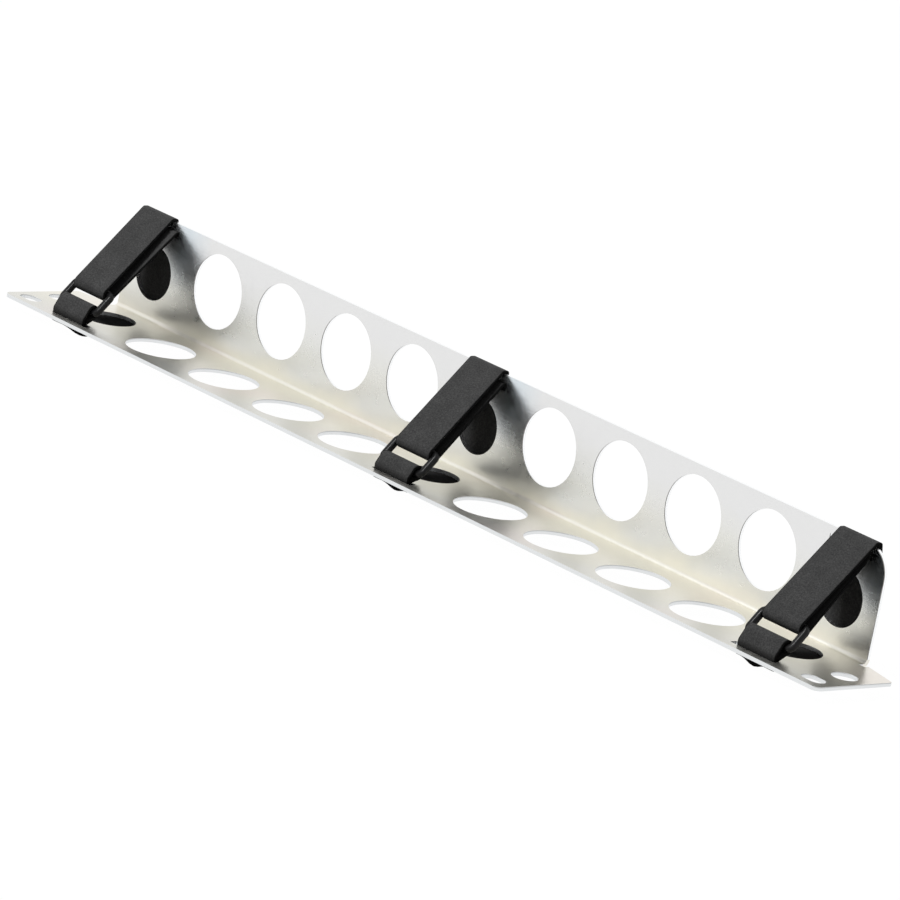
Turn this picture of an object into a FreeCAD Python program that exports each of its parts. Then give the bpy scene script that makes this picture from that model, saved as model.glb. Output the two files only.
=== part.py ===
import FreeCAD, Part
import math
import os

# A cable cross bar for a 19-inch rack: one sheet folded to an L, with a row of lacing holes
# in each flange and three black straps, each fastened by its own rectangular ring.
# Frame: X runs along the bar, Y points to the upright flange, Z points up. The origin is
# halfway between the two rack slots, on the underside that seats against the rack rails.

# Row of holes, the same pitch in both flanges
PITCH = 40.64
HOLE_COUNT = 11
PANEL_HOLE_D = 28.6
PANEL_HOLE_OFFSET = 25.4    # hole centre from the upright's back face
UPRIGHT_HOLE_D = 30.2
UPRIGHT_HOLE_OFFSET = 24.8  # hole centre from the underside

# Strap stations: a smaller hole nearer the fold, and a slot near each flange's free edge
STRAP_STATIONS = {"left": 0, "middle": HOLE_COUNT // 2, "right": HOLE_COUNT - 1}
STATION_HOLE_D = 22.2
STATION_HOLE_OFFSET = 20.4  # hole centre from the outside of the fold
STRAP_SLOT_OFFSET = 39.4    # slot centre from the outside of the fold
STRAP_SLOT_PLAY = 1.0       # what two layers of tape leave free across the slot
STRAP_SLOT_END_PLAY = 1.6   # beside each edge of the tape
STRAP_SLOT_CORNER_R = 0.5

# Folded sheet
SHEET = 1.5
BEND_RADIUS = 1.5           # inside of the fold
PANEL_MARGIN = 5.6          # slot centre to the lower flange's front edge
UPRIGHT_MARGIN = 4.6        # slot centre to the upright's top edge
UPRIGHT_END = 18.8          # last hole centre to the upright's end
UPRIGHT_CORNER_R = 11.5     # round at each end of the upright's top edge

# Tabs, which carry the rack fixing: the slots are 465.1 apart and the bar is 482.6 long
TAB_LENGTH = 19.3
TAB_CORNER_R = 3.0
TAB_TIP_CUT = 3.9           # how far the back edge runs in from root to tip
TAB_TIP_R = 1.0
RELIEF_WIDTH = 3.0          # notch between the end of the fold and the tab
RELIEF_DEPTH = 2.0
RACK_SLOT_LENGTH = 10.3
RACK_SLOT_WIDTH = 6.5
RACK_SLOT_FROM_END = 8.75
RACK_SLOT_FROM_FRONT = 7.0
RACK_HOLE_D = 10.0
RACK_HOLE_STEP = 15.5       # slot centre to hole centre

# Tape and rings
TAPE_WIDTH = 19.8
TAPE = 1.0                  # thickness
TAPE_GAP = 0.1              # between the tape and what it lies on
TAIL_LENGTH = 14.0          # loose end below the upright's top edge
SEWN_LENGTH = 16.0          # doubled end under the lower flange
SEWN_DROP = 1.2             # how far its loose bend hangs below the slot
STRAP_SHIFT = {"left": -1.4, "middle": -0.2, "right": 1.0}
RING_BAR = 2.6              # square, before its edges are bevelled
RING_BEVEL = 0.3
RING_SIDE_GAP = 0.6         # tape edge to side bar
RING_REACH = 9.7            # far bar centre to near bar centre
RING_OUTER_R = 3.0
RING_SLOPE = 47.5           # degrees from the horizontal
RING_UP = 5.9               # near bar centre above the underside
RING_BEHIND = 1.8           # near bar centre behind the slot's rear edge

PANEL_DEPTH = STRAP_SLOT_OFFSET + PANEL_MARGIN
UPRIGHT_HEIGHT = STRAP_SLOT_OFFSET + UPRIGHT_MARGIN
UPRIGHT_LENGTH = (HOLE_COUNT - 1) * PITCH + 2 * UPRIGHT_END
PANEL_LENGTH = UPRIGHT_LENGTH + 2 * TAB_LENGTH
STRAP_SLOT_WIDTH = 2 * (TAPE + TAPE_GAP) + STRAP_SLOT_PLAY
STRAP_SLOT_LENGTH = TAPE_WIDTH + 2 * STRAP_SLOT_END_PLAY
RING_BAR_REACH = math.hypot(RING_BAR / 2, RING_BAR / 2 - RING_BEVEL)    # its furthest corner
BACK = PANEL_DEPTH - RACK_SLOT_FROM_FRONT
FRONT = BACK - PANEL_DEPTH
FOLD = SHEET + BEND_RADIUS
SILL = STRAP_SLOT_OFFSET - STRAP_SLOT_WIDTH / 2     # slot's near edge, from the fold
OVERCUT = 5.0               # how far a cutting tool stands past the sheet


def vec(x, y, z):
    return FreeCAD.Vector(x, y, z)


def plate(points, thickness):
    """Upright prism over a closed outline of plan points."""
    return Part.Face(Part.makePolygon(points + points[:1])).extrude(vec(0, 0, thickness))


def fillet_near(shape, radius, corners, direction):
    """Rounds the straight edges that run along a direction through the given corners."""
    picked = []
    for edge in shape.Edges:
        start = edge.Vertexes[0].Point
        along = edge.Vertexes[-1].Point - start
        if along.Length < 1e-6 or along.cross(direction).Length > 1e-6 * along.Length:
            continue
        for corner in corners:
            if (corner - start).cross(direction).Length < 1e-4:
                picked.append(edge)
    return shape.makeFillet(radius, picked)


def panel_blank():
    """Flat lower flange with its two tabs, up to where the fold begins."""
    end = PANEL_LENGTH / 2
    root = UPRIGHT_LENGTH / 2
    fold_line = BACK - FOLD
    tip = fold_line - TAB_TIP_CUT
    right = [
        vec(end, FRONT, 0),
        vec(end, tip, 0),
        vec(root + RELIEF_WIDTH, fold_line, 0),
        vec(root + RELIEF_WIDTH, fold_line - RELIEF_DEPTH, 0),
        vec(root, fold_line - RELIEF_DEPTH, 0),
        vec(root, fold_line, 0),
    ]
    left = [vec(-p.x, p.y, 0) for p in reversed(right)]
    blank = plate(right + left, SHEET)
    for y, radius in ((FRONT, TAB_CORNER_R), (tip, TAB_TIP_R)):
        corners = [vec(side * end, y, 0) for side in (-1, 1)]
        blank = fillet_near(blank, radius, corners, vec(0, 0, 1))
    return blank


def fold():
    """Quarter round between the two flanges."""
    half = UPRIGHT_LENGTH / 2
    centre = vec(-half, BACK - FOLD, FOLD)
    along = vec(1, 0, 0)
    outer = Part.makeCylinder(FOLD, UPRIGHT_LENGTH, centre, along)
    inner = Part.makeCylinder(BEND_RADIUS, UPRIGHT_LENGTH, centre, along)
    quarter = Part.makeBox(UPRIGHT_LENGTH, FOLD, FOLD, vec(-half, BACK - FOLD, 0))
    return outer.cut(inner).common(quarter)


def upright_blank():
    """Upright flange above the fold, with its two top corners rounded."""
    half = UPRIGHT_LENGTH / 2
    low = vec(-half, BACK - SHEET, FOLD)
    blank = Part.makeBox(UPRIGHT_LENGTH, SHEET, UPRIGHT_HEIGHT - FOLD, low)
    corners = [vec(side * half, BACK, UPRIGHT_HEIGHT) for side in (-1, 1)]
    return fillet_near(blank, UPRIGHT_CORNER_R, corners, vec(0, 1, 0))


def obround(length, width, depth):
    """Tool for a slot with round ends: long in X, centred on the origin, cutting along Z."""
    straight = length - width
    low = -depth / 2
    bar = Part.makeBox(straight, width, depth, vec(-straight / 2, -width / 2, low))
    for side in (-1, 1):
        end = Part.makeCylinder(width / 2, depth, vec(side * straight / 2, 0, low))
        bar = bar.fuse(end)
    return bar.removeSplitter()


def rounded_block(length, width, height, radius):
    """Block centred on the origin, with its four corners rounded in plan."""
    half_x, half_y = length / 2, width / 2
    block = Part.makeBox(length, width, height, vec(-half_x, -half_y, -height / 2))
    corners = [vec(sx * half_x, sy * half_y, 0) for sx in (-1, 1) for sy in (-1, 1)]
    return fillet_near(block, radius, corners, vec(0, 0, 1))


def round_tool(diameter, depth):
    return Part.makeCylinder(diameter / 2, depth, vec(0, 0, -depth / 2))


def through_panel(tool, x, offset):
    """Places a tool in the lower flange, offset forward of the upright's back face."""
    tool.translate(vec(x, BACK - offset, SHEET / 2))
    return tool


def through_upright(tool, x, height):
    """Places a tool in the upright flange at a height above the underside."""
    tool.rotate(vec(0, 0, 0), vec(1, 0, 0), 90)
    tool.translate(vec(x, BACK - SHEET / 2, height))
    return tool


def hole_x(index):
    """Place of a hole along the bar, counted from its left end."""
    return (index - (HOLE_COUNT - 1) / 2) * PITCH


def hole_tools():
    """Every hole and slot of the bar, as cutting tools."""
    depth = SHEET + OVERCUT
    tools = []
    for index in range(HOLE_COUNT):
        x = hole_x(index)
        if index in STRAP_STATIONS.values():
            for put in (through_panel, through_upright):
                tools.append(put(round_tool(STATION_HOLE_D, depth), x, STATION_HOLE_OFFSET))
                slot = rounded_block(
                    STRAP_SLOT_LENGTH, STRAP_SLOT_WIDTH, depth, STRAP_SLOT_CORNER_R)
                tools.append(put(slot, x, STRAP_SLOT_OFFSET))
        else:
            tools.append(through_panel(round_tool(PANEL_HOLE_D, depth), x, PANEL_HOLE_OFFSET))
            tools.append(through_upright(round_tool(UPRIGHT_HOLE_D, depth), x, UPRIGHT_HOLE_OFFSET))
    for side in (-1, 1):
        x = side * (PANEL_LENGTH / 2 - RACK_SLOT_FROM_END)
        slot = obround(RACK_SLOT_LENGTH, RACK_SLOT_WIDTH, depth)
        tools.append(through_panel(slot, x, BACK))
        tools.append(through_panel(round_tool(RACK_HOLE_D, depth), x, BACK - RACK_HOLE_STEP))
    return tools


def crossbar():
    """The folded sheet, in one solid."""
    bar = panel_blank().fuse([fold(), upright_blank()]).removeSplitter()
    return bar.cut(hole_tools()).removeSplitter()


def turned(direction, angle):
    """Direction in the YZ plane, turned by an angle in radians."""
    c, s = math.cos(angle), math.sin(angle)
    return vec(0, direction.y * c - direction.z * s, direction.y * s + direction.z * c)


def ribbon(turns, thickness):
    """Closed face of a flat tape seen from its edge, led round its turns like a belt.

    Each turn is (forward, up, radius) for the tape's middle line: forward of the upright's
    back face, above the underside. A positive radius turns left and a negative one right,
    seen along X from the positive side. The first and the last are the tape's ends.
    """
    centres = [vec(0, BACK - forward, up) for forward, up, radius in turns]
    radii = [radius for forward, up, radius in turns]
    runs = []
    for i in range(len(turns) - 1):
        across = centres[i + 1] - centres[i]
        step = radii[i + 1] - radii[i]
        length = math.sqrt(across.Length ** 2 - step ** 2)
        runs.append(turned(across.normalize(), -math.atan2(step, length)))

    def edge_line(offset):
        edges = []
        at = centres[0] + turned(runs[0], math.pi / 2) * offset
        first = at
        for i in range(1, len(turns) - 1):
            before, after = runs[i - 1], runs[i]
            angle = math.atan2(before.y * after.z - before.z * after.y, before.dot(after))
            if angle * radii[i] < 0:
                angle += math.copysign(2 * math.pi, radii[i])
            arm = turned(before, -math.pi / 2) * (radii[i] - offset)
            points = [centres[i] + turned(arm, angle * share) for share in (0, 0.5, 1)]
            edges.append(Part.LineSegment(at, points[0]).toShape())
            edges.append(Part.Arc(*points).toShape())
            at = points[2]
        last = centres[-1] + turned(runs[-1], math.pi / 2) * offset
        edges.append(Part.LineSegment(at, last).toShape())
        return edges, first, last

    left, left_first, left_last = edge_line(thickness / 2)
    right, right_first, right_last = edge_line(-thickness / 2)
    ends = [
        Part.LineSegment(left_last, right_last).toShape(),
        Part.LineSegment(right_first, left_first).toShape(),
    ]
    return Part.Face(Part.Wire(Part.sortEdges(left + right + ends)[0]))


def ring_bars():
    """Places of the ring's near and far bars: forward of the back face, above the underside."""
    slope = math.radians(RING_SLOPE)
    near = (SILL - RING_BEHIND, RING_UP)
    far = (near[0] - RING_REACH * math.cos(slope), near[1] + RING_REACH * math.sin(slope))
    return near, far


def tape_turns():
    """Turns of one strap, from its loose end round the bar to its sewn end."""
    lie = TAPE_GAP + TAPE / 2
    second = lie + TAPE + TAPE_GAP      # a layer that lies on another
    wrap = RING_BAR_REACH + lie
    near, far = ring_bars()
    return [
        (-second, UPRIGHT_HEIGHT - TAIL_LENGTH, 0),
        (0, SILL, second),
        (0, UPRIGHT_HEIGHT, lie),
        (SHEET, UPRIGHT_HEIGHT, lie),
        (far[0], far[1], wrap),
        (SHEET, SILL, -lie),
        (0, SILL, -lie),
        (FOLD, FOLD, -(FOLD + lie)),
        (SILL, 0, -lie),
        (SILL, SHEET, -lie),
        (near[0], near[1], wrap),
        (SILL, SHEET, second),
        (SILL, -SEWN_DROP, second),
        (SILL - SEWN_LENGTH, -second, 0),
    ]


def strap(x):
    """One strap, its flat section swept across the width of the tape."""
    tape = ribbon(tape_turns(), TAPE).extrude(vec(TAPE_WIDTH, 0, 0))
    tape.translate(vec(x - TAPE_WIDTH / 2, 0, 0))
    return tape


def ring(x):
    """Rectangular ring, moulded flat with bevelled edges, lying along its slope."""
    inside_x = TAPE_WIDTH + 2 * RING_SIDE_GAP
    inside_y = RING_REACH - RING_BAR
    body = rounded_block(inside_x + 2 * RING_BAR, inside_y + 2 * RING_BAR, RING_BAR, RING_OUTER_R)
    height = RING_BAR + OVERCUT
    low = vec(-inside_x / 2, -inside_y / 2, -height / 2)
    body = body.cut(Part.makeBox(inside_x, inside_y, height, low))
    rims = [edge for edge in body.Edges if abs(abs(edge.CenterOfMass.z) - RING_BAR / 2) < 1e-6]
    body = body.makeChamfer(RING_BEVEL, rims)
    body.rotate(vec(0, 0, 0), vec(1, 0, 0), RING_SLOPE)
    near, far = ring_bars()
    body.translate(vec(x, BACK - (near[0] + far[0]) / 2, (near[1] + far[1]) / 2))
    return body


def main():
    os.makedirs("parts", exist_ok=True)
    solids = {"crossbar": crossbar()}
    for name, index in STRAP_STATIONS.items():
        x = hole_x(index) + STRAP_SHIFT[name]
        solids["strap_" + name] = strap(x)
        solids["ring_" + name] = ring(x)
    for name, solid in solids.items():
        solid.exportStep("parts/" + name + ".step")
        box = solid.BoundBox
        print(name, "valid", solid.isValid(), "solids", len(solid.Solids),
              "volume", round(solid.Volume, 1), "X", round(box.XMin, 2), round(box.XMax, 2),
              "Y", round(box.YMin, 2), round(box.YMax, 2),
              "Z", round(box.ZMin, 2), round(box.ZMax, 2))


main()
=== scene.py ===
import math

import bpy
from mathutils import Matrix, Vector


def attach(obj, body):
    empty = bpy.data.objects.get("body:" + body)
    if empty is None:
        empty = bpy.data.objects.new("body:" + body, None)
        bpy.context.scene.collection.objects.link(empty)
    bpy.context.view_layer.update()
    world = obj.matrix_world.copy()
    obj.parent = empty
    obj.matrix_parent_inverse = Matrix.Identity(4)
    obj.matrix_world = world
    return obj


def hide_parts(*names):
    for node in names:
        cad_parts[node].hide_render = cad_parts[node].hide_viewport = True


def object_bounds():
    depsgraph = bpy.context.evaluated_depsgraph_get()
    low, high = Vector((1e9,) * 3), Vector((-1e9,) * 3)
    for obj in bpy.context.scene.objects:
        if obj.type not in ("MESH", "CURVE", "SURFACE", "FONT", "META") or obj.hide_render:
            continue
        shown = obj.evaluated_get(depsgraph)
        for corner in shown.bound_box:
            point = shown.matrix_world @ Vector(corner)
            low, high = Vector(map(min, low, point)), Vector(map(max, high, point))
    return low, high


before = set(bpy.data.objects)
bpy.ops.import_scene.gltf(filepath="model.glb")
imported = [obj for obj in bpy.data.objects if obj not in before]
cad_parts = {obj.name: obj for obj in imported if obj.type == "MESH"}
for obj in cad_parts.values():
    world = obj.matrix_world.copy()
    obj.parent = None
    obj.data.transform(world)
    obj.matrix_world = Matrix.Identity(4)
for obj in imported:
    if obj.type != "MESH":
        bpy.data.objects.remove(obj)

# Sizes are in metres, in the part's own frame: X along the bar, Y towards the upright flange,
# Z up, and the origin halfway between the two rack slots, on the underside.
MM = 0.001

# Bar, as in the part
PITCH = 40.64 * MM
STATION = 5 * PITCH             # from one strap to the next
BACK = 38.0 * MM                # the upright's back face
SHEET = 1.5 * MM
FOLD = 3.0 * MM                 # outside radius of the fold
UPRIGHT_HEIGHT = 44.0 * MM
SILL = 37.8 * MM                # outside of the fold to the first edge of each strap slot

# Tape, a little narrower than the part's
TAPE_WIDTH = 19.5 * MM
TAPE = 1.0 * MM                 # thickness
TAPE_GAP = 0.1 * MM             # between the tape and what it lies on
TAPE_EDGE_R = 0.22 * MM
TAIL_LENGTH = 14.0 * MM         # loose end below the upright's top edge
SEWN_LENGTH = 16.0 * MM         # doubled end under the lower flange
SEWN_DROP = 1.2 * MM            # how far the part's lap hangs below the slot

# Ring, a little thicker and rounder than the part's
RING_BAR = 2.8 * MM
RING_EDGE_R = 1.05 * MM
RING_SIDE_GAP = 0.25 * MM       # tape edge to side bar
RING_REACH = 9.7 * MM           # far bar centre to near bar centre
RING_OUTER_R = 3.0 * MM
RING_SLOPE = math.radians(47.5)
RING_UP = 5.9 * MM              # near bar centre above the underside
RING_BEHIND = 1.8 * MM          # near bar centre behind the slot

# Stitches
STITCH_PITCH = 2.1 * MM
STITCH_LENGTH = 1.6 * MM
STITCH_THICKNESS = 0.34 * MM
STITCH_FROM_EDGE = 2.4 * MM     # of the tape
STITCH_FROM_SLOT = 3.0 * MM
STITCH_FROM_END = 2.0 * MM      # of the tape

# How each strap lies: its station's place along the bar, in metres, and the rest in mm. Off the
# station lie the tape over the upright's top edge, at the ring's far bar, in the upright's slot,
# in the lower flange's slot and at the ring's near bar, and then the ring. The ring is slid up
# its slope, and the lap below the flange has a belly: its place, depth and reach.
STRAPS = {
    "left": {"place": -STATION, "top": -3.2, "far": -2.1, "back": 0.4, "slot": -1.7,
             "near": -1.75, "ring": -1.9, "slide": 0.85, "belly": (4.3, 0.4, 6.5)},
    "middle": {"place": 0.0, "top": -0.9, "far": 0.15, "back": 0.3, "slot": -0.8,
               "near": -0.2, "ring": -0.1, "slide": -0.6, "belly": (0.9, 0.6, 4.5)},
    "right": {"place": STATION, "top": 2.7, "far": 2.2, "back": 1.2, "slot": 1.3,
              "near": 1.5, "ring": 1.65, "slide": 0.85, "belly": (-0.7, 0.9, 4.2)},
}

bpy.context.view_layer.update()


# Camera, at the photograph's viewing angle

CAMERA_AZIMUTH = math.radians(46.66)
CAMERA_ELEVATION = math.radians(14.14)
CAMERA_ROLL = math.radians(11.02)
CAMERA_SENSOR = 36.0            # mm
CAMERA_LENS = 262.86            # mm
CAMERA_RIGHT = -0.192 * PITCH   # the view's middle, from the middle of the upright's foot
CAMERA_UP = 0.251 * PITCH
CAMERA_DISTANCE = 61.81 * PITCH
CAMERA_SEES = (0.1, 20.0)       # nearest and furthest


def add_camera():
    a, e, r = CAMERA_AZIMUTH, CAMERA_ELEVATION, CAMERA_ROLL
    back = Vector((math.sin(a) * math.cos(e), -math.cos(a) * math.cos(e), math.sin(e)))
    level = Vector((math.cos(a), math.sin(a), 0))
    above = back.cross(level)
    right = math.cos(r) * level + math.sin(r) * above
    up = math.cos(r) * above - math.sin(r) * level
    place = CAMERA_RIGHT * right + CAMERA_UP * up + CAMERA_DISTANCE * back
    place.y += BACK
    bpy.ops.object.camera_add()
    camera = bpy.context.object
    camera.name = "camera"
    for row in range(3):
        for column, axis in enumerate((right, up, back, place)):
            camera.matrix_world[row][column] = axis[row]
    camera.data.sensor_width = CAMERA_SENSOR
    camera.data.lens = CAMERA_LENS
    camera.data.clip_start, camera.data.clip_end = CAMERA_SEES
    bpy.context.scene.camera = camera


add_camera()


# Materials

def srgb(code):
    """Linear RGBA of an sRGB hex colour."""
    values = []
    for i in (0, 2, 4):
        c = int(code[i:i + 2], 16) / 255
        values.append(c / 12.92 if c <= 0.04045 else ((c + 0.055) / 1.055) ** 2.4)
    return (*values, 1.0)


def grey(value):
    """RGBA of a share from 0 to 1."""
    return (value, value, value, 1.0)


def new_material(name):
    """Empty node material, with its tree and output node."""
    material = bpy.data.materials.new(name)
    material.use_nodes = True
    tree = material.node_tree
    tree.nodes.clear()
    return material, tree, tree.nodes.new("ShaderNodeOutputMaterial")


def add_node(tree, kind, settings=None, stops=(), **inputs):
    """Adds a node with its settings, and a colour ramp with its (position, colour) stops. An
    input given as a socket is linked, and anything else is its value. An input that shares its
    name goes by number: _6 and _7 are the colours that a Mix node mixes by _0."""
    node = tree.nodes.new(kind)
    for key, value in (settings or {}).items():
        setattr(node, key, value)
    if stops:
        ramp = node.color_ramp
        while len(ramp.elements) < len(stops):
            ramp.elements.new(0.5)
        for element, (position, colour) in zip(ramp.elements, stops):
            element.position = position
            element.color = colour
    for key, value in inputs.items():
        name = int(key[1:]) if key[1:].isdigit() else key.replace("_", " ")
        socket = node.inputs[name]
        if isinstance(value, bpy.types.NodeSocket):
            tree.links.new(value, socket)
        else:
            socket.default_value = value
    return node


# Zinc plated steel

CLOUD = 30.0 * MM
ROSE_CLOUD = 45.0 * MM
STRAP_REFLECTION_Z = (18.0 * MM, 30.0 * MM)   # where the painted blue reflection begins and where it is full
# Painted reflection: the straw tint along the fold stands in for the tan that the fold's hollow
# reflects
FOLD_REFLECTION_WANDER = 20.0 * MM
FOLD_REFLECTION_REACH = (-25.0 * MM, 15.0 * MM)   # Z - Y and its wander, from the fold, where the straw tint is a painted reflection, to the free edges
SHADE_BAND_DEPTH = 0.4 * MM                          # depth of the painted shade along a cut edge
MOTTLE = 4.0 * MM
SCUFF_TOP = 40.0 * MM                   # Z where the sheet is no longer scuffed
LINE_LENGTH = 50.0 * MM
LINE_WIDTH = 0.7 * MM                   # rolling lines are finer, and are drawn so as to show
DENT_SPACING = 5.0 * MM
GRAIN = 0.9 * MM
RELIEF = 0.2 * MM                       # height that a bump strength of 1 stands for


def plating_and_reflection_tints(tree, where, place, upright):
    """Faint colours of the plating, and painted reflections. The straw tint along the fold is a
    painted reflection, for the tan that the fold's hollow mirrors back and forth, and the rose
    clouds on the lower flange are the plating's own. The upright is more neutral, with a painted
    blue reflection high up to the right of each strap, where the strap is mirrored."""
    clouds = add_node(tree, "ShaderNodeTexNoise", Vector=where, Scale=1 / CLOUD, Detail=3.0,
                      Roughness=0.5)
    from_fold = add_node(tree, "ShaderNodeMath", {"operation": "SUBTRACT"},
                         _0=place["Z"], _1=place["Y"])
    wander = add_node(tree, "ShaderNodeMath", {"operation": "MULTIPLY_ADD"},
                      _0=clouds.outputs["Fac"], _1=FOLD_REFLECTION_WANDER, _2=from_fold.outputs["Value"])
    reach = add_node(tree, "ShaderNodeMapRange", Value=wander.outputs["Value"],
                     From_Min=FOLD_REFLECTION_REACH[0], From_Max=FOLD_REFLECTION_REACH[1]).outputs["Result"]
    # By the fold, at 0, both ramps give the painted straw reflection; further out, the plating's
    # own colour
    lower = add_node(tree, "ShaderNodeValToRGB", Fac=reach, stops=(
        (0.0, srgb("EBE9DF")), (0.25, srgb("ECE9DE")), (0.50, srgb("E8E5DA")),
        (0.75, srgb("E1DFD5")), (1.0, srgb("DAD9D3"))))
    blush = add_node(tree, "ShaderNodeTexNoise", Vector=where, Scale=1 / ROSE_CLOUD, Detail=1.0)
    rose = add_node(tree, "ShaderNodeValToRGB", Fac=blush.outputs["Fac"],
                    stops=((0.50, grey(0.0)), (0.70, grey(0.35))))
    rosy = add_node(tree, "ShaderNodeMix", {"data_type": "RGBA"}, _0=rose.outputs["Color"],
                    _6=lower.outputs["Color"], _7=srgb("E6D9D5"))
    upper = add_node(tree, "ShaderNodeValToRGB", Fac=reach, stops=(
        (0.0, srgb("EBE9DF")), (0.18, srgb("DEDED9")), (0.40, srgb("E4E4DF")),
        (0.80, srgb("E6E6E6"))))
    tint = add_node(tree, "ShaderNodeMix", {"data_type": "RGBA"}, _0=upright,
                    _6=rosy.outputs["Result"], _7=upper.outputs["Color"])

    # Painted reflection: a pale blue tint high on the upright just right of each strap, where the
    # strap's reflection falls
    past_strap = add_node(tree, "ShaderNodeMath", {"operation": "FLOORED_MODULO"},
                          _0=place["X"], _1=STATION)
    beside = add_node(tree, "ShaderNodeMath", {"operation": "DIVIDE"},
                      _0=past_strap.outputs["Value"], _1=STATION)
    blue = add_node(tree, "ShaderNodeValToRGB", Fac=beside.outputs["Value"], stops=(
        (0.02, grey(0.0)), (0.07, grey(0.42)), (0.09, grey(0.42)), (0.16, grey(0.0))))
    high = add_node(tree, "ShaderNodeMapRange", Value=place["Z"],
                    From_Min=STRAP_REFLECTION_Z[0], From_Max=STRAP_REFLECTION_Z[1])
    painted_blue_reflection = add_node(tree, "ShaderNodeMath", {"operation": "MULTIPLY"},
                          _0=blue.outputs["Color"], _1=high.outputs["Result"])
    tinged = add_node(tree, "ShaderNodeMix", {"data_type": "RGBA"},
                      _0=painted_blue_reflection.outputs["Value"], _6=tint.outputs["Result"],
                      _7=srgb("CADCE8"))
    return tinged.outputs["Result"]


def cut_faces(tree, place, faces, upright):
    """1 on the sheet's cut edges, where the surface looks along its flange and not out of it,
    and 0 elsewhere, the fold included."""
    along_y = add_node(tree, "ShaderNodeMath", {"operation": "ABSOLUTE"}, _0=faces["Y"])
    along_z = add_node(tree, "ShaderNodeMath", {"operation": "ABSOLUTE"}, _0=faces["Z"])
    flat = add_node(tree, "ShaderNodeMix", {"data_type": "FLOAT"}, _0=upright,
                    _2=along_z.outputs["Value"], _3=along_y.outputs["Value"])
    folded = add_node(tree, "ShaderNodeMath", {"operation": "GREATER_THAN"},
                      _0=place["Y"], _1=BACK - FOLD)
    bend = add_node(tree, "ShaderNodeMath", {"operation": "SUBTRACT"},
                    _0=folded.outputs["Value"], _1=upright)
    whole = add_node(tree, "ShaderNodeMath", {"operation": "MAXIMUM"},
                     _0=flat.outputs["Result"], _1=bend.outputs["Value"])
    cut = add_node(tree, "ShaderNodeMath", {"operation": "LESS_THAN"},
                   _0=whole.outputs["Value"], _1=0.5)
    return cut.outputs["Value"]


def painted_wall_shade(tree, place, faces, upright):
    """Painted shade on a cut edge, in a narrow band beside the face that the punch went in by:
    only where the wall looks to the right, and less on the lower flange."""
    from_front = add_node(tree, "ShaderNodeMath", {"operation": "SUBTRACT"},
                          _0=place["Y"], _1=BACK - SHEET)
    from_top = add_node(tree, "ShaderNodeMath", {"operation": "SUBTRACT"},
                        _0=SHEET, _1=place["Z"])
    depth = add_node(tree, "ShaderNodeMix", {"data_type": "FLOAT"}, _0=upright,
                     _2=from_top.outputs["Value"], _3=from_front.outputs["Value"])
    shade_band = add_node(tree, "ShaderNodeMath", {"operation": "LESS_THAN"},
                   _0=depth.outputs["Result"], _1=SHADE_BAND_DEPTH)
    rightward = add_node(tree, "ShaderNodeMapRange", Value=faces["X"],
                         From_Min=0.2, From_Max=0.7, To_Max=0.85)
    wall_shade = add_node(tree, "ShaderNodeMath", {"operation": "MULTIPLY"},
                    _0=shade_band.outputs["Value"], _1=rightward.outputs["Result"])
    weaker = add_node(tree, "ShaderNodeMath", {"operation": "MULTIPLY_ADD"},
                      _0=upright, _1=0.6, _2=0.4)
    weakened = add_node(tree, "ShaderNodeMath", {"operation": "MULTIPLY"},
                        _0=wall_shade.outputs["Value"], _1=weaker.outputs["Value"])
    return weakened.outputs["Value"]


def cut_edges(tree, place, faces, upright, plated):
    """The plating's colour, and on a sheared or punched edge bare steel, painted brighter, near
    white on the upright, as a painted highlight of the white that the hole walls mirror, with
    painted shade on the walls that look right."""
    cut = cut_faces(tree, place, faces, upright)
    # Painted highlight: the cut edges are made brighter than the plating, near white on the
    # upright
    bare_and_highlight = add_node(tree, "ShaderNodeMix", {"data_type": "RGBA"}, _0=upright,
                     _6=srgb("E4E6E7"), _7=srgb("FAFBFC"))
    bare = add_node(tree, "ShaderNodeMix", {"data_type": "RGBA"}, _0=cut,
                    _6=plated, _7=bare_and_highlight.outputs["Result"])
    wall_shade = add_node(tree, "ShaderNodeMath", {"operation": "MULTIPLY"},
                    _0=painted_wall_shade(tree, place, faces, upright), _1=cut)
    # Painted shade: the right-looking cut walls are darkened
    edged = add_node(tree, "ShaderNodeMix", {"data_type": "RGBA"}, _0=wall_shade.outputs["Value"],
                     _6=bare.outputs["Result"], _7=srgb("57534C"))
    return edged.outputs["Result"]


def worn_plating(tree, where, place):
    """Roughness: mottled, and duller low down, where the cables lie on the sheet and scuff it."""
    mottle = add_node(tree, "ShaderNodeTexNoise", Vector=where, Scale=1 / MOTTLE, Detail=4.0,
                      Roughness=0.6)
    rough = add_node(tree, "ShaderNodeMapRange", Value=mottle.outputs["Fac"],
                     From_Min=0.3, From_Max=0.7, To_Min=0.18, To_Max=0.25)
    scuffed = add_node(tree, "ShaderNodeMapRange", Value=place["Z"],
                       From_Min=FOLD, From_Max=SCUFF_TOP, To_Min=0.10, To_Max=0.0)
    worn = add_node(tree, "ShaderNodeMath", {"operation": "ADD"},
                    _0=rough.outputs["Result"], _1=scuffed.outputs["Result"])
    return worn.outputs["Value"]


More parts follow.
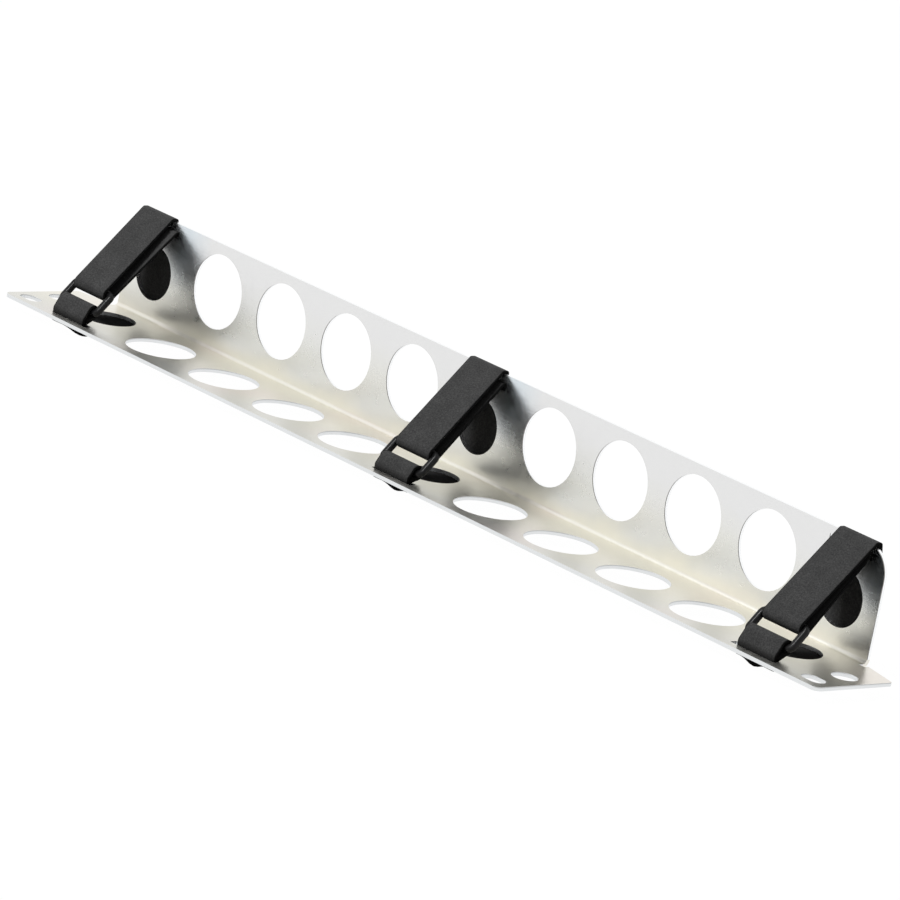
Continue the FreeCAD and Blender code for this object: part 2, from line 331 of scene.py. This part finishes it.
def rolled_relief(tree, where):
    """Normal of the sheet: rolling lines along the bar, a few small dents and a fine grain."""
    rolled = add_node(tree, "ShaderNodeMapping", {"vector_type": "POINT"}, Vector=where,
                      Scale=(1 / LINE_LENGTH, 1 / LINE_WIDTH, 1 / LINE_WIDTH))
    lines = add_node(tree, "ShaderNodeTexNoise", Vector=rolled.outputs["Vector"], Scale=1.0,
                     Detail=2.0, Roughness=0.5)
    dots = add_node(tree, "ShaderNodeTexVoronoi", {"feature": "F1"}, Vector=where,
                    Scale=1 / DENT_SPACING)
    dents = add_node(tree, "ShaderNodeValToRGB", Fac=dots.outputs["Distance"],
                     stops=((0.05, grey(0.0)), (0.09, grey(1.0))))
    grain = add_node(tree, "ShaderNodeTexNoise", Vector=where, Scale=1 / GRAIN, Detail=2.0)
    lined = add_node(tree, "ShaderNodeBump", Height=lines.outputs["Fac"], Strength=0.08,
                     Distance=RELIEF)
    dented = add_node(tree, "ShaderNodeBump", Height=dents.outputs["Color"], Strength=0.07,
                      Distance=RELIEF, Normal=lined.outputs["Normal"])
    grained = add_node(tree, "ShaderNodeBump", Height=grain.outputs["Fac"], Strength=0.06,
                       Distance=RELIEF, Normal=dented.outputs["Normal"])
    return grained.outputs["Normal"]


def zinc_plated_steel():
    """Cold-rolled sheet, bright zinc plated: a soft mirror with fine rolling lines along the bar,
    faint rose clouds from the passivation, a painted straw reflection along the fold, a painted
    blue reflection beside each strap, and bare cut edges, painted brighter as a highlight and
    with painted shade on their right-looking walls."""
    material, tree, out = new_material("zinc_plated_rolled_steel")
    coordinates = add_node(tree, "ShaderNodeTexCoord").outputs
    where = coordinates["Object"]
    place = add_node(tree, "ShaderNodeSeparateXYZ", Vector=where).outputs
    faces = add_node(tree, "ShaderNodeSeparateXYZ", Vector=coordinates["Normal"]).outputs
    upright = add_node(tree, "ShaderNodeMath", {"operation": "GREATER_THAN"},
                       _0=place["Z"], _1=FOLD).outputs["Value"]
    plated = plating_and_reflection_tints(tree, where, place, upright)
    shader = add_node(tree, "ShaderNodeBsdfPrincipled", Metallic=1.0,
                      Base_Color=cut_edges(tree, place, faces, upright, plated),
                      Roughness=worn_plating(tree, where, place),
                      Normal=rolled_relief(tree, where))
    tree.links.new(shader.outputs["BSDF"], out.inputs["Surface"])
    return material


# Nylon and polyester

LOOP = 0.6 * MM                         # the real loops are 0.3 mm across, too fine to show
FADE = 6.0 * MM
LOW_SHADE_Z = (1.8 * MM, 4.5 * MM)        # where the painted shade is deepest, and where it has faded out
NAP_RELIEF = 0.3 * MM
PEEL = 1.2 * MM
SMEAR = 4.0 * MM
PEEL_RELIEF = 0.2 * MM
TWIST = 0.8 * MM
THREAD_RELIEF = 0.1 * MM


def looped_nylon_tape():
    """Woven nylon tape with a napped loop face: near-black yarn whose short loops catch the
    light as a grey fuzz, with a flat, darker selvedge along each edge, its dark partly painted
    shade on the tape's edges."""
    material, tree, out = new_material("napped_nylon_loop_tape")
    layout = add_node(tree, "ShaderNodeUVMap", {"uv_map": "tape"}).outputs["UV"]
    across = add_node(tree, "ShaderNodeSeparateXYZ", Vector=layout).outputs["X"]
    where = add_node(tree, "ShaderNodeTexCoord").outputs["Object"]

    nap = add_node(tree, "ShaderNodeTexNoise", Vector=where, Scale=1 / LOOP, Detail=2.0,
                   Roughness=0.6)
    fuzz = add_node(tree, "ShaderNodeValToRGB", Fac=nap.outputs["Fac"], stops=(
        (0.32, srgb("414142")), (0.50, srgb("4C4C4C")), (0.68, srgb("585858"))))
    drift = add_node(tree, "ShaderNodeTexNoise", Vector=where, Scale=1 / FADE, Detail=2.0)
    faded = add_node(tree, "ShaderNodeValToRGB", Fac=drift.outputs["Fac"],
                     stops=((0.35, grey(0.86)), (0.65, grey(1.0))))
    yarn = add_node(tree, "ShaderNodeMix", {"data_type": "RGBA", "blend_type": "MULTIPLY"},
                    _0=1.0, _6=fuzz.outputs["Color"], _7=faded.outputs["Color"])

    # The tape's edges: its own darker selvedge, darkened further as painted shade
    side = add_node(tree, "ShaderNodeMath", {"operation": "ABSOLUTE"}, _0=across)
    selvedge_and_shade = add_node(tree, "ShaderNodeValToRGB", Fac=side.outputs["Value"],
                        stops=((0.960, grey(0.0)), (0.985, grey(1.0))))
    plain = add_node(tree, "ShaderNodeMix", {"data_type": "RGBA"},
                     _0=selvedge_and_shade.outputs["Color"], _6=yarn.outputs["Result"], _7=srgb("2B2B2B"))

    # Painted shade: the tape is darker at and below the lower flange's top, at the foot's bottom
    # by its slot and on the lap, fading out a little higher
    height = add_node(tree, "ShaderNodeSeparateXYZ", Vector=where).outputs["Z"]
    low_shade = add_node(tree, "ShaderNodeMapRange", Value=height,
                       From_Min=LOW_SHADE_Z[0], From_Max=LOW_SHADE_Z[1], To_Min=0.35)
    colour = add_node(tree, "ShaderNodeMix", {"data_type": "RGBA", "blend_type": "MULTIPLY"},
                      _0=1.0, _6=plain.outputs["Result"], _7=low_shade.outputs["Result"])

    bump = add_node(tree, "ShaderNodeBump", Height=nap.outputs["Fac"], Strength=0.6,
                    Distance=NAP_RELIEF)
    shader = add_node(tree, "ShaderNodeBsdfPrincipled", Base_Color=colour.outputs["Result"],
                      Roughness=0.92, Specular_IOR_Level=0.0, Sheen_Weight=0.08,
                      Sheen_Roughness=0.5, Normal=bump.outputs["Normal"])
    tree.links.new(shader.outputs["BSDF"], out.inputs["Surface"])
    return material


def moulded_nylon():
    """Black nylon as moulded: a smooth skin with a faint orange peel, glossy on its edges."""
    material, tree, out = new_material("moulded_black_nylon")
    where = add_node(tree, "ShaderNodeTexCoord").outputs["Object"]
    peel = add_node(tree, "ShaderNodeTexNoise", Vector=where, Scale=1 / PEEL, Detail=2.0)
    smear = add_node(tree, "ShaderNodeTexNoise", Vector=where, Scale=1 / SMEAR, Detail=3.0)
    shade = add_node(tree, "ShaderNodeValToRGB", Fac=smear.outputs["Fac"],
                     stops=((0.3, srgb("0E0E0F")), (0.7, srgb("171718"))))
    rough = add_node(tree, "ShaderNodeMapRange", Value=smear.outputs["Fac"],
                     To_Min=0.24, To_Max=0.36)
    bump = add_node(tree, "ShaderNodeBump", Height=peel.outputs["Fac"], Strength=0.15,
                    Distance=PEEL_RELIEF)
    shader = add_node(tree, "ShaderNodeBsdfPrincipled", Base_Color=shade.outputs["Color"],
                      Roughness=rough.outputs["Result"], IOR=1.53, Specular_IOR_Level=0.17,
                      Normal=bump.outputs["Normal"])
    tree.links.new(shader.outputs["BSDF"], out.inputs["Surface"])
    return material


def polyester_thread():
    """Twisted black sewing thread: slightly shinier than the tape, with its twist as a bump."""
    material, tree, out = new_material("twisted_polyester_thread")
    where = add_node(tree, "ShaderNodeTexCoord").outputs["Object"]
    twist = add_node(tree, "ShaderNodeTexWave", {"bands_direction": "DIAGONAL"}, Vector=where,
                     Scale=1 / TWIST, Distortion=1.0)
    shade = add_node(tree, "ShaderNodeValToRGB", Fac=twist.outputs["Fac"],
                     stops=((0.2, srgb("1A1A1B")), (0.8, srgb("3A3A3C"))))
    bump = add_node(tree, "ShaderNodeBump", Height=twist.outputs["Fac"], Strength=0.4,
                    Distance=THREAD_RELIEF)
    shader = add_node(tree, "ShaderNodeBsdfPrincipled", Base_Color=shade.outputs["Color"],
                      Roughness=0.55, Normal=bump.outputs["Normal"])
    tree.links.new(shader.outputs["BSDF"], out.inputs["Surface"])
    return material


# Modelling helpers

CREASE = math.radians(60)       # a bevel rounds only edges sharper than this


def select_only(piece):
    bpy.ops.object.select_all(action="DESELECT")
    piece.select_set(True)
    bpy.context.view_layer.objects.active = piece


def pick_edges(piece, wanted):
    """Selects in edit mode the edges whose two ends are wanted."""
    bpy.ops.object.mode_set(mode="EDIT")
    bpy.ops.mesh.select_mode(type="EDGE")
    bpy.ops.mesh.select_all(action="DESELECT")
    bpy.ops.object.mode_set(mode="OBJECT")
    mesh = piece.data
    for edge in mesh.edges:
        edge.select = wanted(*(mesh.vertices[i].co for i in edge.vertices))
    bpy.ops.object.mode_set(mode="EDIT")


def apply_modifier(piece, kind, **settings):
    modifier = piece.modifiers.new(kind.lower(), kind)
    for key, value in settings.items():
        setattr(modifier, key, value)
    bpy.ops.object.modifier_apply(modifier=modifier.name)


def finish_piece(piece, node, material):
    """Gives a finished piece its place in its mesh and its material, hangs it on the root body,
    and hides the CAD part that it replaces, if any.
    """
    select_only(piece)
    bpy.ops.object.transform_apply(location=True, rotation=True, scale=True)
    piece.data.materials.clear()
    piece.data.materials.append(material)
    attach(piece, "root")
    if node:
        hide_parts(node)


# Straps

LIE = TAPE_GAP + TAPE / 2       # middle of a layer, above what it lies on
SECOND = LIE + TAPE + TAPE_GAP  # middle of a layer that lies on another
WRAP = LIE + 1.9 * MM           # the ring's bar, to its corner, and a little slack
RIDE = 1.5 * MM                 # how high the tape rides in the upright's slot
FOOT_BELLY = 0.4 * MM           # the outer layer swells in front of its slot, this far up
FOOT_BELLY_UP = 3.0 * MM
STEP = 2.5 * MM                 # longest face along a straight run of tape
BEND_STEP = math.radians(15)
TAPE_STRIPS = 12                # faces across the tape


def ring_bars(slide):
    """Forward and up places of the ring's near and far bars, once it is slid up its slope."""
    up_slope = Vector((-math.cos(RING_SLOPE), math.sin(RING_SLOPE)))
    near = Vector((SILL - RING_BEHIND, RING_UP)) + slide * MM * up_slope
    return near, near + RING_REACH * up_slope


def tape_turns(lie):
    """Turns of a strap's middle line: forward of the upright's back face, up, radius, and mm off
    the station. The radius is positive where the tape turns anticlockwise, seen from the right.

    The tape goes from its loose end over the upright's top, round the ring's far bar, back
    through the upright's slot, down behind the upright, below the lower flange, up through its
    slot, round the ring's near bar, and down through the same slot to its sewn end."""
    near, far = ring_bars(lie["slide"])
    return [
        (-SECOND, UPRIGHT_HEIGHT - TAIL_LENGTH, 0.0, lie["top"]),
        (0.0, SILL + RIDE, SECOND, lie["top"]),
        (0.0, UPRIGHT_HEIGHT, LIE, lie["top"]),
        (SHEET, UPRIGHT_HEIGHT, LIE, lie["top"]),
        (far[0], far[1], WRAP, lie["far"]),
        (SHEET, SILL + RIDE, -LIE, lie["back"]),
        (0.0, SILL + RIDE, -LIE, lie["back"]),
        (FOLD, FOLD, -(FOLD + LIE), lie["slot"]),
        (SILL, 0.0, -LIE, lie["slot"]),
        (SILL, SHEET, -LIE, lie["slot"]),
        (near[0], near[1], WRAP, lie["near"]),
        (SILL + FOOT_BELLY, FOOT_BELLY_UP, SECOND, lie["slot"]),
        (SILL, -SEWN_DROP, SECOND, lie["slot"]),
        (SILL - SEWN_LENGTH, -SECOND, 0.0, lie["slot"]),
    ]


def turned(direction, angle):
    c, s = math.cos(angle), math.sin(angle)
    return Vector((direction[0] * c - direction[1] * s, direction[0] * s + direction[1] * c))


def touch(middle, radius, run):
    """Where a straight run touches the round of a turn."""
    return middle + turned(run, -math.pi / 2) * radius


def straight_runs(middles, radii):
    """Direction of the straight run from each turn to the next."""
    runs = []
    for i in range(len(middles) - 1):
        across = middles[i + 1] - middles[i]
        step = radii[i + 1] - radii[i]
        length = math.sqrt(across.length ** 2 - step ** 2)
        runs.append(turned(across.normalized(), -math.atan2(step, length)))
    return runs


def start_tape(name, x, start, along):
    """First face of a tape, one step long and cut across into strips, which the whole tape then
    keeps. Its front edges are left selected."""
    bpy.ops.object.select_all(action="DESELECT")
    bpy.ops.mesh.primitive_plane_add(size=1.0, location=(0, 0, 0))
    tape = bpy.context.object
    tape.name = name
    tape.scale = (TAPE_WIDTH, STEP, 1.0)
    tape.rotation_euler = (math.atan2(along[1], along[0]), 0, 0)
    middle = start + along * STEP / 2
    tape.location = (x, middle[0], middle[1])
    bpy.ops.object.transform_apply(location=True, rotation=True, scale=True)

    def steps_on(a, b):
        """How many steps from the start the middle of an edge lies."""
        between = (a + b) / 2
        return (Vector((between.y, between.z)) - start).dot(along) / STEP

    def at_end(a, b):
        crosswise = abs(a.x - b.x) > TAPE_WIDTH / TAPE_STRIPS / 2
        return crosswise and not 0.1 <= steps_on(a, b) <= 0.9

    def at_front(a, b):
        return steps_on(a, b) > 0.9

    pick_edges(tape, at_end)
    bpy.ops.mesh.subdivide(number_cuts=TAPE_STRIPS - 1)
    pick_edges(tape, at_front)
    return tape


def extrude_run(move, shift):
    """Extrudes the front edges along a straight run, and by the shift along the bar."""
    count = max(1, math.ceil(move.length / STEP))
    each = (shift / count, move[0] / count, move[1] / count)
    for _ in range(count):
        bpy.ops.mesh.extrude_edges_move(TRANSFORM_OT_translate={"value": each})


def spin_turn(middle, radius, before, after):
    """Spins the front edges round a turn, from one run's direction to the next one's."""
    angle = math.atan2(before[0] * after[1] - before[1] * after[0], before.dot(after))
    if angle * radius < 0:
        angle += math.copysign(2 * math.pi, radius)
    bpy.ops.mesh.spin(steps=max(1, round(abs(angle) / BEND_STEP)), angle=-angle,
                      center=(0, middle[0], middle[1]), axis=(1, 0, 0), dupli=False)


def add_tape(name, lie):
    """Flat sheet of tape, extruded along its straight runs and spun round its turns."""
    turns = tape_turns(lie)
    middles = [Vector((BACK - forward, up)) for forward, up, radius, off in turns]
    radii = [radius for forward, up, radius, off in turns]
    offs = [off * MM for forward, up, radius, off in turns]
    runs = straight_runs(middles, radii)
    tape = start_tape(name, lie["place"] + offs[0], middles[0], runs[0])
    at = middles[0] + runs[0] * STEP
    for i, run in enumerate(runs):
        middle, radius = middles[i + 1], radii[i + 1]
        extrude_run(run * (touch(middle, radius, run) - at).length, offs[i + 1] - offs[i])
        if run is not runs[-1]:
            spin_turn(middle, radius, run, runs[i + 1])
            at = touch(middle, radius, runs[i + 1])
    bpy.ops.object.mode_set(mode="OBJECT")
    return tape


def lay_out(tape):
    """UV map of the flat tape: X from -1 to 1 across its width, Y its length in tape widths."""
    mesh = tape.data

    # The vertices of one row across the tape share their Y and Z, to a micron
    rows = {}
    for vertex in mesh.vertices:
        rows.setdefault((round(vertex.co.y, 6), round(vertex.co.z, 6)), []).append(vertex)
    in_order = sorted(rows.values(), key=lambda row: max(v.index for v in row))

    flat = {}
    run = 0.0
    before = None
    for row in in_order:
        low = min(v.co.x for v in row)
        here = Vector((row[0].co.y, row[0].co.z))
        if before is not None:
            run += (here - before).length
        before = here
        for vertex in row:
            flat[vertex.index] = ((vertex.co.x - low) / TAPE_WIDTH * 2 - 1, run / TAPE_WIDTH)
    while mesh.uv_layers:
        mesh.uv_layers.remove(mesh.uv_layers[0])
    layer = mesh.uv_layers.new(name="tape")
    for loop in mesh.loops:
        layer.data[loop.index].uv = flat[loop.vertex_index]


def lap_rise(x, lie):
    """How far the lap's bend lies above its place in the part, at a place across the tape."""
    middle, depth, reach = (value * MM for value in lie["belly"])
    belly = math.exp(-((x - lie["place"] - middle) / reach) ** 2)
    return SEWN_DROP - (SEWN_DROP + depth) * belly


def let_hang(tape, lie):
    """Lets the lap below the slot hang lowest at one place, and lie close beside it."""
    for vertex in tape.data.vertices:
        share = min(1.0, max(0.0, (-vertex.co.z - SECOND) / SEWN_DROP))
        vertex.co.z += share * lap_rise(vertex.co.x, lie)


def thicken(tape):
    """Gives the tape its thickness and rounds its edges."""
    select_only(tape)
    apply_modifier(tape, "SOLIDIFY", thickness=TAPE, offset=0.0, use_even_offset=True)
    apply_modifier(tape, "BEVEL", width=TAPE_EDGE_R, segments=2, limit_method="ANGLE",
                   angle_limit=CREASE)
    bpy.ops.object.shade_smooth_by_angle(angle=math.radians(40))


# Rings

def add_ring(name, lie):
    """Moulded ring: a plate rounded at its corners, inset, opened, drawn up and bevelled."""
    near, far = ring_bars(lie["slide"])
    middle = (near + far) / 2
    bpy.ops.object.select_all(action="DESELECT")
    bpy.ops.mesh.primitive_plane_add(size=1.0)
    ring = bpy.context.object
    ring.name = name
    ring.scale = (TAPE_WIDTH + 2 * (RING_SIDE_GAP + RING_BAR), RING_REACH + RING_BAR, 1.0)
    bpy.ops.object.transform_apply(scale=True)
    bpy.ops.object.mode_set(mode="EDIT")
    bpy.ops.mesh.select_all(action="SELECT")
    bpy.ops.transform.translate(value=(0, 0, -RING_BAR / 2))
    bpy.ops.mesh.bevel(offset=RING_OUTER_R, segments=8, affect="VERTICES")
    bpy.ops.mesh.select_mode(type="FACE")
    bpy.ops.mesh.select_all(action="SELECT")
    bpy.ops.mesh.inset(thickness=RING_BAR, use_even_offset=True)
    bpy.ops.mesh.delete(type="FACE")
    bpy.ops.mesh.select_all(action="SELECT")
    bpy.ops.mesh.extrude_region_move(TRANSFORM_OT_translate={"value": (0, 0, RING_BAR)})
    bpy.ops.mesh.select_all(action="SELECT")
    bpy.ops.mesh.normals_make_consistent(inside=False)
    bpy.ops.object.mode_set(mode="OBJECT")
    apply_modifier(ring, "BEVEL", width=RING_EDGE_R, segments=4, limit_method="ANGLE",
                   angle_limit=CREASE)
    bpy.ops.object.shade_smooth_by_angle(angle=math.radians(35))
    ring.rotation_euler = (RING_SLOPE, 0, 0)
    ring.location = (lie["place"] + lie["ring"] * MM, BACK - middle[0], middle[1])
    return ring


# Stitching

def box_of_stitches(lie):
    """Place and heading of each stitch round the box that sews the tape's end down."""
    left = lie["place"] + lie["slot"] * MM - TAPE_WIDTH / 2 + STITCH_FROM_EDGE
    right = left + TAPE_WIDTH - 2 * STITCH_FROM_EDGE
    near = BACK - SILL + STITCH_FROM_SLOT
    far = BACK - SILL + SEWN_LENGTH - STITCH_FROM_END
    corners = [(left, near), (right, near), (right, far), (left, far), (left, near)]
    box = []
    for (x0, y0), (x1, y1) in zip(corners, corners[1:]):
        count = round(math.hypot(x1 - x0, y1 - y0) / STITCH_PITCH)
        for k in range(count):
            share = (k + 0.5) / count
            place = (x0 + (x1 - x0) * share, y0 + (y1 - y0) * share)
            box.append((place, math.atan2(y1 - y0, x1 - x0)))
    return box


def below_lap(x, y, lie):
    """Height of the lap's lower face, which falls from the tape's end to the slot."""
    loose = 1 - (y - (BACK - SILL)) / SEWN_LENGTH
    return loose * (lap_rise(x, lie) - SEWN_DROP) - SECOND - TAPE / 2


def add_stitches(name, lie):
    """Box of stitches under the lower flange: one stitch, copied and joined."""
    bpy.ops.object.select_all(action="DESELECT")
    bpy.ops.mesh.primitive_uv_sphere_add(segments=8, ring_count=6, radius=0.5)
    stitch = bpy.context.object
    stitch.name = name + "_one"
    stitch.scale = (STITCH_LENGTH, STITCH_THICKNESS, STITCH_THICKNESS)
    bpy.ops.object.transform_apply(scale=True)
    copies = []
    for (x, y), heading in box_of_stitches(lie):
        copy = stitch.copy()
        copy.data = stitch.data.copy()
        bpy.context.collection.objects.link(copy)
        copy.rotation_euler = (0, 0, heading)
        copy.location = (x, y, below_lap(x, y, lie))
        copies.append(copy)
    bpy.data.objects.remove(stitch)
    bpy.ops.object.select_all(action="DESELECT")
    for copy in copies:
        copy.select_set(True)
    bpy.context.view_layer.objects.active = copies[0]
    bpy.ops.object.join()
    stitches = bpy.context.object
    stitches.name = name
    bpy.ops.object.shade_smooth()
    return stitches


# The object

zinc = zinc_plated_steel()
tape_nylon = looped_nylon_tape()
ring_nylon = moulded_nylon()
thread = polyester_thread()

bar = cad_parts["crossbar"]
for slot in bar.material_slots:
    slot.material = zinc

for side, lie in STRAPS.items():
    tape = add_tape("tape_" + side, lie)
    lay_out(tape)
    let_hang(tape, lie)
    thicken(tape)
    finish_piece(tape, "strap_" + side, tape_nylon)
    ring = add_ring("buckle_ring_" + side, lie)
    finish_piece(ring, "ring_" + side, ring_nylon)
    stitches = add_stitches("stitching_" + side, lie)
    finish_piece(stitches, None, thread)


# Stage, world and lamps

FLOOR_SIZE = 8.0
FLOOR_BELOW = 0.2 * MM
PAPER_SEEN = 0.88               # share of what is seen that glows; the rest takes the shadow
PAPER_GLOW = 1.13               # over 1, so that both shares together look white
ROOM_AS_LIGHT = 0.17            # the room looks 1, white, and lights the object this much
LAMP_AIM = Vector((0, 0.02, 0.02))      # about the middle of the bar


def seen_white(tree):
    """1 for what the camera sees, itself or mirrored, and 0 for light that cloth scatters."""
    path = add_node(tree, "ShaderNodeLightPath").outputs
    mirrored = add_node(tree, "ShaderNodeMath", {"operation": "MAXIMUM"},
                        _0=path["Is Glossy Ray"], _1=path["Is Transmission Ray"])
    first = add_node(tree, "ShaderNodeMath", {"operation": "LESS_THAN"},
                     _0=path["Diffuse Depth"], _1=0.5)
    direct = add_node(tree, "ShaderNodeMath", {"operation": "MULTIPLY"},
                      _0=mirrored.outputs["Value"], _1=first.outputs["Value"])
    seen = add_node(tree, "ShaderNodeMath", {"operation": "MAXIMUM"},
                    _0=path["Is Camera Ray"], _1=direct.outputs["Value"])
    return seen.outputs["Value"]


def add_stage():
    """White paper below the bar. The camera and the metal see it plain white, and it still takes
    a faint shadow."""
    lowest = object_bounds()[0].z
    bpy.ops.object.select_all(action="DESELECT")
    bpy.ops.mesh.primitive_plane_add(size=FLOOR_SIZE, location=(0, 0, lowest - FLOOR_BELOW))
    floor = bpy.context.object
    floor.name = "floor"
    bpy.ops.object.transform_apply(location=True)
    material, tree, out = new_material("white_paper")
    share = add_node(tree, "ShaderNodeMath", {"operation": "MULTIPLY"}, _0=seen_white(tree),
                     _1=PAPER_SEEN)
    paper = add_node(tree, "ShaderNodeBsdfDiffuse", Color=srgb("6E6E6C"))
    glow = add_node(tree, "ShaderNodeEmission", Color=grey(1.0), Strength=PAPER_GLOW)
    mixed = add_node(tree, "ShaderNodeMixShader", _0=share.outputs["Value"],
                     _1=paper.outputs["BSDF"], _2=glow.outputs["Emission"])
    tree.links.new(mixed.outputs["Shader"], out.inputs["Surface"])
    floor.data.materials.append(material)


def add_world():
    """Even studio white, much dimmer as light than it looks."""
    world = bpy.data.worlds.new("studio")
    bpy.context.scene.world = world
    world.use_nodes = True
    tree = world.node_tree
    tree.nodes.clear()
    out = tree.nodes.new("ShaderNodeOutputWorld")
    strength = add_node(tree, "ShaderNodeMapRange", Value=seen_white(tree),
                        To_Min=ROOM_AS_LIGHT, To_Max=1.0)
    sky = add_node(tree, "ShaderNodeBackground", Color=grey(1.0),
                   Strength=strength.outputs["Result"])
    tree.links.new(sky.outputs["Background"], out.inputs["Surface"])


def add_lamp(name, place, size, power):
    """Soft square lamp, aimed at the middle of the bar."""
    bpy.ops.object.light_add(type="AREA", location=place)
    lamp = bpy.context.object
    lamp.name = name
    lamp.rotation_euler = (LAMP_AIM - Vector(place)).to_track_quat("-Z", "Y").to_euler()
    lamp.data.size = size
    lamp.data.energy = power
    return lamp


add_stage()
add_world()

# The sheet mirrors the white room and the strip, and not the two softboxes
key = add_lamp("key_softbox", place=(-0.55, -1.2, 2.05), size=0.9, power=47.0)
key.visible_glossy = False
strip = add_lamp("overhead_strip", place=(-0.2, -0.75, 1.25), size=0.25, power=11.0)
strip.visible_diffuse = False
back = add_lamp("back_softbox", place=(-0.5, 1.3, 0.8), size=0.8, power=8.0)
back.visible_glossy = False

bpy.context.scene.view_settings.view_transform = "Standard"
